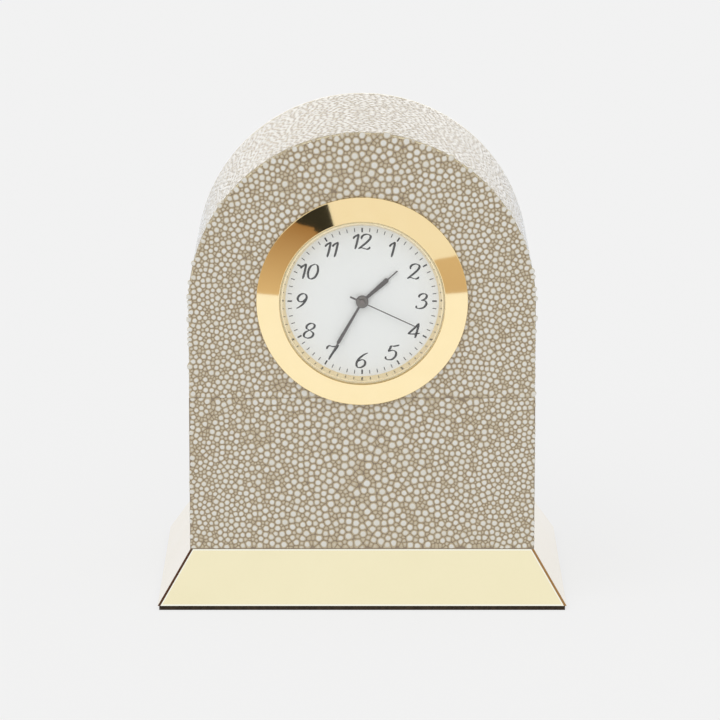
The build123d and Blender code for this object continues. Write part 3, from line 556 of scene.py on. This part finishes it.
# Bezel: a brass ring, turned in one piece and gilt to a mirror. Its wide cone faces out, slightly
# crowned, a lip holds the glass, and a skirt behind takes the cup. The conical ring between glass and
# dial is satin.
bezel_profile = [
    (27.05, 0.0), (27.05, -0.9), (24.23, -2.21), (21.32, -3.3), (21.2, -3.3), (21.2, -2.3),
    (22.2, -2.3), (22.2, 4.0), (23.35, 4.0), (23.35, 0.0),
]
bezel_easing = [0.1, 0.22, 2.2, 0.05, 0.05, 0.05, 0.05, 0.05, 0.1, 0.05]
ring_profile = [(20.4, -2.3), (22.1, -2.3), (22.1, 0.0), (19.6, 0.0)]

gilt = Finish("mirror_gilt", Metallic=1.0)
wear = gilt.noise(180, 4.0)
gilt.feed(
    Base_Color=gilt.blend(wear, shade(251, 228, 178), shade(248, 223, 170)),
    Roughness=0.05 + wear * 0.03,
)


def eased(profile, easing):
    """Closed profile with each corner rounded: a parabola (1-t)^2 a + 2t(1-t) c + t^2 b between points
    at the easing from corner c along both sides, and one more point on each side to keep the flats flat."""
    corner = np.array(profile, float)
    size = np.broadcast_to(easing, len(corner))[:, None]
    before = np.roll(corner, 1, 0) - corner
    after = np.roll(corner, -1, 0) - corner
    before /= np.linalg.norm(before, axis=1, keepdims=True)
    after /= np.linalg.norm(after, axis=1, keepdims=True)
    t = np.linspace(0, 1, 6)[None, :, None]
    bend = (1 - t) ** 2 * before[:, None] + t**2 * after[:, None]
    bend = np.concatenate([1.2 * before[:, None], bend, 1.2 * after[:, None]], 1)
    return (corner[:, None] + size[:, None] * bend).reshape(-1, 2)


def turned(name, profile, steps=240):
    """Closed profile of radius and depth, carried round the dial's axis: x = r sin a, z = r cos a."""
    angle = np.linspace(0, 2 * np.pi, steps, endpoint=False)[:, None]
    radius, depth = profile[:, 0], np.broadcast_to(profile[:, 1], (steps, len(profile)))
    across, up = radius * np.sin(angle), dial_height + radius * np.cos(angle)
    points = np.stack([across, case_front + depth, up], -1).reshape(-1, 3)
    return shell(name, points, *outward(points, lofted((steps, len(profile)), True)))


bezel = show(turned("bezel_gilt", eased(bezel_profile, bezel_easing)), gilt, "insert", "bezel")
satin = Finish("satin_gilt", Metallic=1.0)
brushed = satin.noise(400, 3.0)
satin.feed(
    Base_Color=satin.blend(brushed, shade(255, 236, 194), shade(250, 228, 180)),
    Roughness=0.16 + brushed * 0.06,
)
dial_ring = show(turned("dial_ring_gilt", eased(ring_profile, 0.06)), satin, "insert", "dial_ring")


# Crystal: a flat disc of clear glass with a bevelled front edge, pressed into the bezel's lip. The bevel
# and the wall are made less clear and painted a warm grey: the glass's edge with a painted reflection of
# the gilt lip in it. The flat is nearly unseen.
glass_radii = np.array([20.5, 21.1, 21.15, 21.15, 20.68, 20.6, 20.5])
glass_depths = np.array([-2.33, -2.33, -2.38, -2.7, -3.17, -3.2, -3.2])
glass_rim = np.array([0.0, 1.0, 1.0, 1.0, 1.0, 0.3, 0.0])

glass = Finish("crystal_glass", Roughness=0.03, IOR=1.5)
rim = glass.node("ShaderNodeAttribute", {"attribute_name": "rim"}, output="Fac")
smear = glass.noise(120, 3.0)
# The rim's warm grey and lower clarity: the glass's edge with a painted reflection of the gilt lip.
glass.feed(
    Base_Color=glass.blend(rim, shade(250, 252, 252), shade(214, 206, 172)),
    Alpha=0.03 + smear * 0.02 + rim * 0.35,
)
around = np.linspace(0, 2 * np.pi, 192, endpoint=False)
across, up = np.outer(glass_radii, np.sin(around)), dial_height + np.outer(glass_radii, np.cos(around))
depth = np.broadcast_to(case_front + glass_depths[:, None], across.shape)
disc = np.stack([across, depth, up], -1).reshape(-1, 3)
crystal_mesh = shell("crystal_disc", disc, *outward(disc, lofted(across.shape, False)))
rim_values = np.repeat(glass_rim, len(around)).astype(np.float32)
crystal_mesh.attributes.new("rim", "FLOAT", "POINT").data.foreach_set("value", rim_values)
crystal_mesh.set_sharp_from_angle(angle=np.radians(25))
crystal = show(crystal_mesh, glass, "insert", "crystal")


# Dial: a thin aluminium disc, sprayed satin white and printed in black with a minute track and italic
# figures. The figures are drawn with a broad pen, and the print is a film 0.02 mm thick.
tick_foot, tick_tip, hour_tick_foot = 18.1, 19.05, 17.9
tick_width, hour_tick_width = 0.2, 0.4
figure_radius, figure_height, figure_width, slant = 15.45, 3.85, 1.2, 0.2
pen_broad, pen_fine, pen_angle = 0.58, 0.22, np.radians(-15)
film = 0.02

enamel = Finish("dial_enamel", Roughness=0.4)
stipple = enamel.noise(5000, 2.0)
enamel.feed(
    Base_Color=enamel.blend(stipple, shade(232, 234, 232), shade(237, 239, 237)),
    Normal=enamel.relief(stipple, 0.00001, 0.3),
)
enamel.dress("dial")

ink = Finish("dial_ink", Roughness=0.5)
spread = ink.noise(4000, 2.0)
ink.feed(Base_Color=ink.blend(spread, shade(26, 26, 27), shade(48, 48, 49)))

figures = {
    "0": [
        [(0.34, 1.0), (0.13, 0.84), (0.05, 0.48), (0.13, 0.1), (0.31, 0.0)]
        + [(0.5, 0.15), (0.58, 0.52), (0.5, 0.88), (0.34, 1.0)],
    ],
    "1": [
        [(0.0, 0.7), (0.06, 0.83), (0.18, 0.93), (0.27, 1.0)],
        [(0.27, 1.0), (0.26, 0.68), (0.25, 0.34), (0.22, 0.0)],
    ],
    "2": [
        [(0.08, 0.66), (0.05, 0.8), (0.14, 0.95), (0.33, 1.0), (0.52, 0.9)]
        + [(0.53, 0.7), (0.38, 0.45), (0.17, 0.2), (0.0, 0.03)],
        [(0.0, 0.03), (0.14, 0.1), (0.3, 0.05), (0.46, 0.0), (0.58, 0.04), (0.62, 0.15)],
    ],
    "3": [
        [(0.1, 0.74), (0.08, 0.86), (0.2, 0.98), (0.38, 0.99), (0.5, 0.86), (0.45, 0.66), (0.24, 0.55)],
        [(0.24, 0.55), (0.46, 0.51), (0.57, 0.32), (0.47, 0.08), (0.24, 0.0), (0.06, 0.06), (0.04, 0.2)],
    ],
    "4": [
        [(0.5, 1.0), (0.34, 0.74), (0.17, 0.5), (0.0, 0.29)],
        [(0.0, 0.29), (0.2, 0.28), (0.42, 0.28), (0.66, 0.33)],
        [(0.5, 1.0), (0.49, 0.66), (0.47, 0.33), (0.44, 0.0)],
    ],
    "5": [
        [(0.19, 0.95), (0.32, 0.92), (0.48, 0.94), (0.64, 1.0)],
        [(0.19, 0.95), (0.17, 0.82), (0.14, 0.69), (0.1, 0.55)],
        [(0.1, 0.55), (0.32, 0.64), (0.52, 0.52), (0.55, 0.26)]
        + [(0.4, 0.03), (0.17, 0.0), (0.02, 0.1), (0.03, 0.22)],
    ],
    "6": [
        [(0.56, 1.0), (0.34, 0.85), (0.13, 0.58), (0.05, 0.28), (0.14, 0.04)]
        + [(0.34, 0.01), (0.52, 0.18), (0.5, 0.42), (0.32, 0.54), (0.12, 0.42)],
    ],
    "7": [
        [(0.0, 0.72), (0.02, 0.86), (0.12, 0.95), (0.28, 0.9), (0.46, 0.9), (0.62, 1.0)],
        [(0.62, 1.0), (0.48, 0.68), (0.34, 0.36), (0.23, 0.0)],
    ],
    "8": [
        [(0.31, 0.54), (0.13, 0.66), (0.12, 0.86), (0.32, 1.0), (0.52, 0.9), (0.52, 0.7), (0.31, 0.54)],
        [(0.31, 0.54), (0.09, 0.38), (0.06, 0.14), (0.27, 0.0), (0.5, 0.08), (0.55, 0.32), (0.31, 0.54)],
    ],
    "9": [
        [(0.52, 0.66), (0.4, 0.48), (0.2, 0.48), (0.08, 0.68), (0.18, 0.93)]
        + [(0.38, 1.0), (0.55, 0.84), (0.54, 0.54), (0.38, 0.22), (0.12, 0.0)],
    ],
}
advance, usual_advance = {"1": 0.4}, 0.66


def drawn(points, count=40):
    """Smooth line through pen points: cubic between each two, h00 p + h10 m + h01 q + h11 n."""
    knot = np.array(points, float)
    pull = np.gradient(knot, axis=0)
    place = np.linspace(0, len(knot) - 1, count)
    first = np.minimum(place.astype(int), len(knot) - 2)
    t = (place - first)[:, None]
    return (
        (2 * t**3 - 3 * t**2 + 1) * knot[first]
        + (t**3 - 2 * t**2 + t) * pull[first]
        + (3 * t**2 - 2 * t**3) * knot[first + 1]
        + (t**3 - t**2) * pull[first + 1]
    )


def hour_strokes(hour):
    """Pen lines of one hour's figures, slanted, upright at their place on the dial."""
    text = str(hour)
    steps = [advance.get(figure, usual_advance) for figure in text]
    starts = np.cumsum([0.0] + steps[:-1]) - sum(steps) / 2
    placed = [(line, start) for figure, start in zip(text, starts) for line in figures[figure]]
    lines = np.array([drawn(line) + (start, -0.5) for line, start in placed])
    lines[..., 0] = figure_width * lines[..., 0] + slant * lines[..., 1]
    angle = np.radians(30 * hour)
    return figure_height * lines + figure_radius * np.array([np.sin(angle), np.cos(angle)])


def printed(left, right):
    """Closed films between left and right edge lines on the dial, one film for each pair of lines."""
    count, length = left.shape[:2]
    ring = np.stack([left, right, right, left], 2)
    depth = np.broadcast_to([-film, -film, 0.0, 0.0], ring.shape[:3])
    points = np.stack([ring[..., 0], case_front + depth, dial_height + ring[..., 1]], -1).reshape(-1, 3)
    groups = lofted((length, 4), False)
    offsets = (np.arange(count) * length * 4)[:, None, None]
    groups = tuple((offsets + faces).reshape(-1, faces.shape[1]) for faces in groups)
    return points, outward(points, groups)


strokes = np.concatenate([hour_strokes(hour) for hour in range(1, 13)])
run = np.gradient(strokes, axis=1)
run /= np.linalg.norm(run, axis=-1, keepdims=True)
slope = np.arctan2(run[..., 1], run[..., 0])
ends = np.sqrt(np.sin(np.pi * np.linspace(0.04, 0.96, strokes.shape[1]))).clip(0, 0.75) / 0.75
half_stroke = (pen_fine + (pen_broad - pen_fine) * abs(np.sin(slope - pen_angle))) * ends / 2
normal = np.stack([-run[..., 1], run[..., 0]], -1) * half_stroke[..., None]
figure_points, figure_faces = printed(strokes + normal, strokes - normal)
show(shell("dial_figures", figure_points, *figure_faces), ink, "insert")

minute = np.arange(60)
hourly = minute % 5 == 0
turn = np.radians(6 * minute)
out = np.column_stack([np.sin(turn), np.cos(turn)])
width = np.where(hourly, hour_tick_width, tick_width)
cross = np.column_stack([out[:, 1], -out[:, 0]]) * width[:, None] / 2
reach = np.column_stack([np.where(hourly, hour_tick_foot, tick_foot), np.full(60, tick_tip)])
track = out[:, None] * reach[..., None]
track_points, track_faces = printed(track - cross[:, None], track + cross[:, None])
show(shell("dial_minute_track", track_points, *track_faces), ink, "insert")


# Hands: thin steel stampings, lacquered dark grey, pressed on their tubes one over another. Round the
# axis the bosses are painted in lighter and darker rings: painted highlights and painted shade on them.
lacquer = Finish("hand_lacquer", Metallic=0.3)
sheen = lacquer.noise(700, 3.0)
dial_axis = (0, 0, dial_height / 1000)
spot = lacquer.node("ShaderNodeTexCoord", output="Object")
offset = lacquer.node("ShaderNodeVectorMath", {"operation": "SUBTRACT"}, {0: spot, 1: dial_axis})
flat = lacquer.node("ShaderNodeVectorMath", {"operation": "MULTIPLY"}, {0: offset, 1: (1, 0, 1)})
from_axis = lacquer.node("ShaderNodeVectorMath", {"operation": "LENGTH"}, {0: flat}, output="Value")
# Painted highlights and painted shade: lighter and darker rings round the axis on the bosses.
painted_boss_light_and_shade = lacquer.node(
    "ShaderNodeValToRGB",
    {
        "stops": [
            (0.0, shade(112, 100, 95)),
            (0.3, shade(118, 108, 102)),
            (0.36, shade(82, 77, 73)),
            (0.44, shade(124, 119, 112)),
            (0.66, shade(120, 115, 108)),
            (0.76, shade(84, 78, 75)),
            (1.0, shade(74, 68, 66)),
        ]
    },
    {"Fac": from_axis * 500},
)
lacquer.feed(
    Base_Color=lacquer.blend(sheen * 0.3, painted_boss_light_and_shade, shade(92, 86, 83)),
    Roughness=0.38 + sheen * 0.15,
)
lacquer.dress("hour_hand", "minute_hand", "second_hand")


# Cup, setting knob and battery cap: black moulded plastic with a fine spark texture. The cup is pressed
# into the bezel's skirt, the knob on its arbor, and the cap turns in the cup's back.
moulding = Finish("black_moulding", Base_Color=shade(38, 38, 40))
spark = moulding.noise(6000, 3.0)
moulding.feed(Roughness=0.5 + spark * 0.2, Normal=moulding.relief(spark, 0.00003, 0.6))
moulding.dress("movement_cup", "setting_knob", "battery_cap")


# Gasket: a moulded sleeve of soft white rubber with ribs, stretched over the cup. It grips the bore and
# alone holds the insert in the case.
rubber = Finish("gasket_rubber", Subsurface_Weight=0.2, Subsurface_Scale=0.001)
bloom = rubber.noise(800, 3.0)
rubber.feed(
    Base_Color=rubber.blend(bloom, shade(212, 211, 205), shade(230, 229, 224)),
    Roughness=0.6 + bloom * 0.15,
)
rubber.dress("gasket")


# Movement plates, bobbin and moulded wheels: natural plastic, the wheels a little whiter. The main plate
# sits in the cup, and the wheels turn between it and the bridge.
plates = ("main_plate", "train_bridge", "coil_bobbin")
moulded_wheels = ("hour_wheel", "motion_wheel", "intermediate_wheel", "rotor_pinion")
for name, nodes, dark, light in (
    ("plate_plastic", plates, (196, 194, 184), (214, 212, 203)),
    ("wheel_plastic", moulded_wheels, (222, 218, 204), (238, 235, 224)),
):
    plastic = Finish(name)
    flow = plastic.noise(300, 3.0)
    plastic.feed(Base_Color=plastic.blend(flow, shade(*dark), shade(*light)), Roughness=0.4 + flow * 0.15)
    plastic.dress(*nodes)


# Brass wheels and bronze contacts: the wheels are cut and the contacts stamped from rolled sheet, and
# both are left bare.
cut_wheels = ("cannon_pinion", "seconds_wheel", "third_wheel", "centre_wheel")
contacts = ("negative_contact", "positive_contact")
for name, nodes, dark, light in (
    ("wheel_brass", cut_wheels, (214, 176, 104), (234, 202, 134)),
    ("contact_bronze", contacts, (196, 160, 108), (220, 188, 138)),
):
    sheet = Finish(name, Metallic=1.0)
    rolled = sheet.noise(1500, 3.0, stretch=(1, 1, 8))
    sheet.feed(Base_Color=sheet.blend(rolled, shade(*dark), shade(*light)), Roughness=0.22 + rolled * 0.2)
    sheet.dress(*nodes)


# Motor: a stator and a coil core stamped from soft iron, and a pressed magnet of the same grey. The coil
# is wound of enamelled copper wire, and its turns are in the material as a relief, with painted shade
# between the turns and a painted highlight on each turn's crown.
iron = Finish("soft_iron", Metallic=1.0)
scale_marks = iron.noise(900, 4.0)
iron.feed(
    Base_Color=iron.blend(scale_marks, shade(112, 112, 114), shade(150, 150, 152)),
    Roughness=0.35 + scale_marks * 0.25,
)
iron.dress("stator", "coil_core", "rotor_magnet")

copper = Finish("enamelled_copper", Metallic=1.0, Coat_Weight=0.6)
turns = copper.node(
    "ShaderNodeTexWave",
    {"wave_type": "BANDS", "bands_direction": "X"},
    {"Vector": copper.place(turn=(0, np.radians(43.3), 0)), "Scale": 1500.0, "Distortion": 0.4},
)
# Painted shade between the wire's turns and painted highlight on their crowns, following the relief.
copper.feed(
    Base_Color=copper.blend(turns, shade(150, 78, 44), shade(222, 136, 84)),
    Roughness=0.3 + turns * 0.1,
    Normal=copper.relief(turns, 0.00005),
)
copper.dress("coil_winding")


# Circuit: a green lacquered board with a black resin chip moulded on it. The quartz can and the button
# cell are drawn from sheet and plated with nickel.
laminate = Finish("green_laminate", Coat_Weight=0.5)
weave = laminate.noise(2500, 2.0)
laminate.feed(
    Base_Color=laminate.blend(weave, shade(22, 84, 48), shade(36, 108, 64)),
    Roughness=0.4 + weave * 0.15,
)
laminate.dress("circuit_board")

resin = Finish("black_resin", Base_Color=shade(28, 28, 29))
pits = resin.noise(7000, 3.0)
resin.feed(Roughness=0.55 + pits * 0.2, Normal=resin.relief(pits, 0.00003, 0.6))
resin.dress("timing_chip")

nickel = Finish("nickel_plate", Metallic=1.0)
draw_marks = nickel.noise(1200, 3.0)
nickel.feed(
    Base_Color=nickel.blend(draw_marks, shade(196, 194, 188), shade(222, 220, 214)),
    Roughness=0.16 + draw_marks * 0.14,
)
nickel.dress("quartz_can", "battery")


# Photo studio: a pale floor of paper under an even sky. The sky is stronger in gloss and glass than on
# matt surfaces, and the camera sees it as a pale background.
sky = bpy.data.worlds.new("studio")
bpy.context.scene.world = sky
sky.use_nodes = True
air = Nodes(sky.node_tree)
by_camera, by_gloss, by_glass = (
    air.node("ShaderNodeLightPath", output=f"Is {kind} Ray")
    for kind in ("Camera", "Glossy", "Transmission")
)
background = air.tree.nodes["Background"]
background.inputs["Color"].default_value = (1, 1, 1, 1)
strength = 0.62 + by_camera * 0.266 + (by_gloss + by_glass > 0.5) * 0.33
air.tree.links.new(strength.socket, background.inputs["Strength"])

paper = Finish("floor_paper", Roughness=0.9, Base_Color=(0.15, 0.15, 0.15, 1), Specular_IOR_Level=0.0)
paper.shader.inputs["Emission Strength"].default_value = 1.0
mirrored = paper.node("ShaderNodeLightPath", output="Is Glossy Ray")
paper.feed(Emission_Color=paper.blend(mirrored, (0.74, 0.74, 0.74, 1), (0.9, 0.95, 1.04, 1)))
floor_half = 6000.0
floor_corners = np.column_stack([oblong(floor_half, -floor_half, floor_half), np.zeros(4)])
floor_mesh = shell("floor", floor_corners, np.array([[0, 1, 2, 3]]))
floor_mesh.materials.append(paper.material)
ground = bpy.data.objects.new("floor", floor_mesh)
bpy.context.collection.objects.link(ground)


# Cards that only a gloss sees: a tan wall on either side, a dark flag over the left one and a bright
# wall behind that whitens the top of the arch.
def card(name, corners, distance, low, high):
    """Card with corners at these azimuths and elevations, as seen from the dial, the two at its foot
    first. It goes from the colour low at its foot to the colour high at its head."""
    side, rise = np.radians(corners).T
    points = distance * np.column_stack([np.sin(side), -np.cos(side), np.tan(rise)]) + (0, 0, dial_height)
    mesh = shell(name, points, np.array([[0, 1, 2, 3]]))
    finish = Finish(name, Base_Color=(0, 0, 0, 1), Emission_Strength=1.0, Specular_IOR_Level=0.0)
    height = finish.node("ShaderNodeSeparateXYZ", {}, {0: finish.place()}, output="Z")
    foot, head = points[[0, 2], 2] / 1000
    climb = finish.node("ShaderNodeMapRange", {}, {"Value": height, "From Min": foot, "From Max": head})
    finish.feed(Emission_Color=finish.blend(climb, (*low, 1), (*high, 1)))
    mesh.materials.append(finish.material)
    made = bpy.data.objects.new(name, mesh)
    bpy.context.collection.objects.link(made)
    made.visible_camera = made.visible_diffuse = made.visible_transmission = made.visible_shadow = False


dark_tan, pale_tan = (0.36, 0.21, 0.095), (0.73, 0.58, 0.4)
right_foot, right_head = (0.67, 0.53, 0.37), (0.69, 0.55, 0.38)
black, white = (0.035, 0.035, 0.03), (1.55, 1.55, 1.55)
card("left_wall", [(-75, -6.1), (-17, -6.1), (-17, 23.5), (-75, 23.5)], 520, pale_tan, dark_tan)
card("right_wall", [(33, -6.1), (75, -6.1), (75, 9.2), (33, 9.2)], 520, right_foot, right_head)
card("dark_flag", [(-38, 23), (-13, 23), (-23, 42), (-38, 42)], 500, black, black)
card("back_wall", [(150, 3), (210, 3), (210, 28), (150, 28)], 700, white, white)

# Lamp and camera: one wide soft lamp from above the left shoulder, which no gloss shows, and a long lens
# at the photo's height and distance.
lamp = bpy.data.lights.new("soft_lamp", "SUN")
lamp.energy = 1.35
lamp.angle = np.radians(70)
lamp_object = bpy.data.objects.new("soft_lamp", lamp)
lamp_object.rotation_euler = np.radians((32, -14, 0))
lamp_object.visible_glossy = False
bpy.context.collection.objects.link(lamp_object)

lens = bpy.data.cameras.new("camera")
lens.lens = 222.1
lens.sensor_width = 36.0
camera = bpy.data.objects.new("camera", lens)
camera.location = (-0.00055, -1.14315, 0.30968)
camera.rotation_euler = np.radians((90 - 12.46, 0, 0))
bpy.context.collection.objects.link(camera)
bpy.context.scene.camera = camera
bpy.context.scene.view_settings.view_transform = "Standard"
